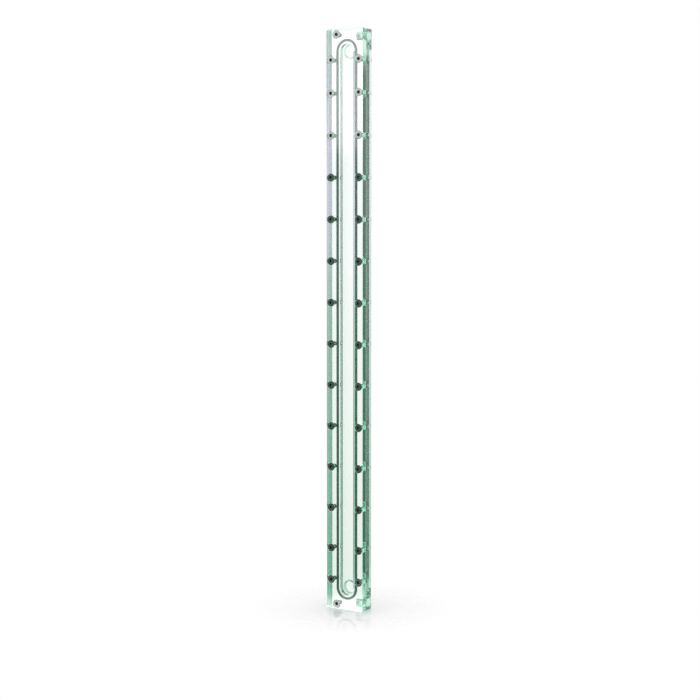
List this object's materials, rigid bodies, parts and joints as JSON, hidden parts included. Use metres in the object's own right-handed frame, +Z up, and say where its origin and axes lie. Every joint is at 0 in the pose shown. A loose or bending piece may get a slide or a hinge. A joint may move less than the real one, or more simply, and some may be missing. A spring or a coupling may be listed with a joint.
{
  "type": "coolant distribution plate",
  "caption": "Tall narrow clear acrylic coolant plate: a screwed front cover seals a long round-ended channel in the base, with a threaded port in the rear at each end.",
  "frame": {"origin": "centre of the flat rear face", "axes": "+X to the right seen from the front, +Y out of the rear face, +Z up along the plate"},
  "size_m": [0.038, 0.0161, 0.532],
  "materials": {
    "clear_acrylic": "clear cast acrylic with a faint green tint, polished faces and edges",
    "seal_rubber": "matt black synthetic rubber",
    "black_steel": "black oxide, slightly oiled"
  },
  "bodies": {
    "root": {"base_plate": "clear_acrylic", "front_cover": "clear_acrylic", "channel_seal": "seal_rubber", "left_edge_screws": "black_steel", "right_edge_screws": "black_steel", "end_screws": "black_steel"}
  },
  "joints": []
}
